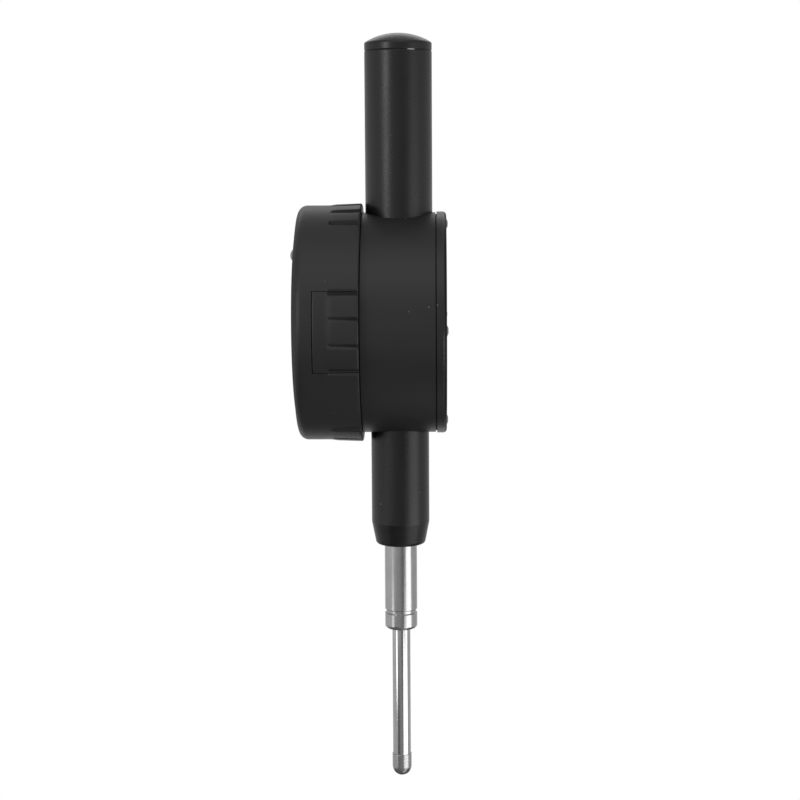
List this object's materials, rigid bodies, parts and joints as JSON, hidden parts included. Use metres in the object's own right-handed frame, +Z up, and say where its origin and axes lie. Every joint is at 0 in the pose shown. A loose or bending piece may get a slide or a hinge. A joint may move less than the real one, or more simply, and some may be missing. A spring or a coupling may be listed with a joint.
{
  "type": "digital indicator",
  "caption": "Round digital indicator with a turning display head, a long tube over the spindle, a bare stem for clamping and a sprung spindle with a ball-ended contact point.",
  "frame": {"origin": "on the spindle axis, half-way along the bare stretch of the 8 mm stem that a holder clamps", "axes": "+Z up the spindle axis towards the tube cap, -Y towards the display, +X towards the battery drawer"},
  "size_m": [0.0579, 0.0374, 0.1836],
  "materials": {
    "case_black": "satin black",
    "cover_black": "satin black",
    "tube_black": "satin black with a fine sparkle",
    "head_black": "fine matt moulded black",
    "inner_black": "matt moulded black",
    "panel_black": "gloss black",
    "window_clear": "clear",
    "lcd_grey": "display grey",
    "button_grey": "satin light grey",
    "seal_rubber": "matt black",
    "stem_steel": "fine turned",
    "spindle_steel": "ground and polished",
    "contact_steel": "ground",
    "screw_steel": "dark zinc",
    "spring_steel": "drawn wire",
    "cell_steel": "bright nickel",
    "contact_strip": "tinned strip",
    "bush_brass": "turned",
    "carrier_aluminium": "milled",
    "scale_board": "green laminate",
    "circuit_board": "green solder mask",
    "flex_amber": "amber film"
  },
  "bodies": {
    "case": {"case": "case_black", "back_cover": "cover_black", "cover_gasket": "seal_rubber", "cover_screws": "screw_steel", "top_tube": "tube_black", "tube_cap": "tube_black", "upper_bush": "bush_brass", "stop_buffer": "seal_rubber", "return_spring": "spring_steel", "stem_sleeve": "tube_black", "stem": "stem_steel", "lower_bush": "bush_brass", "wiper_seal": "seal_rubber", "guide_rod": "spindle_steel", "sensor_board": "circuit_board", "sensor_screws": "screw_steel", "flex_cable": "flex_amber", "head_retaining_ring": "spring_steel", "friction_ring": "seal_rubber"},
    "spindle": {"spindle": "spindle_steel", "spindle_collar": "bush_brass", "contact_point": "contact_steel", "scale_carrier": "carrier_aluminium", "carrier_screw": "screw_steel", "scale_strip": "scale_board"},
    "display_head": {"bezel_ring": "head_black", "rear_plate": "inner_black", "head_screws": "screw_steel", "stop_pin": "spring_steel", "front_panel": "panel_black", "lcd_window": "window_clear", "lcd_module": "lcd_grey", "zebra_strips": "seal_rubber", "display_board": "circuit_board", "flex_socket": "inner_black", "button_mat": "seal_rubber", "battery_bay": "inner_black", "battery_contact_minus": "contact_strip", "battery_contact_plus": "contact_strip"},
    "battery_drawer": {"battery_drawer": "head_black", "coin_cell": "cell_steel"},
    "button_on_off": {"button_on_off": "button_grey"},
    "button_unit": {"button_unit": "button_grey"},
    "button_zero": {"button_zero": "button_grey"}
  },
  "joints": [
    {"name": "spindle_travel", "type": "slide", "parent": "case", "child": "spindle", "axis": [0, 0, 1], "range_m": [0, 0.0254], "stiffness_N_per_m": 25, "springref_m": -0.04, "deforming": ["return_spring"]},
    {"name": "head_turn", "type": "hinge", "parent": "case", "child": "display_head", "pos_m": [0, 0, 0.063], "axis": [0, 1, 0], "range_deg": [-135, 135]},
    {"name": "drawer_slide", "type": "slide", "parent": "display_head", "child": "battery_drawer", "axis": [1, 0, 0], "range_m": [0, 0.02]},
    {"name": "button_on_off_press", "type": "slide", "parent": "display_head", "child": "button_on_off", "axis": [0, 1, 0], "range_m": [0, 0.0004], "stiffness_N_per_m": 800, "springref_m": -0.0006},
    {"name": "button_unit_press", "type": "slide", "parent": "display_head", "child": "button_unit", "axis": [0, 1, 0], "range_m": [0, 0.0004], "stiffness_N_per_m": 800, "springref_m": -0.0006},
    {"name": "button_zero_press", "type": "slide", "parent": "display_head", "child": "button_zero", "axis": [0, 1, 0], "range_m": [0, 0.0004], "stiffness_N_per_m": 800, "springref_m": -0.0006}
  ]
}
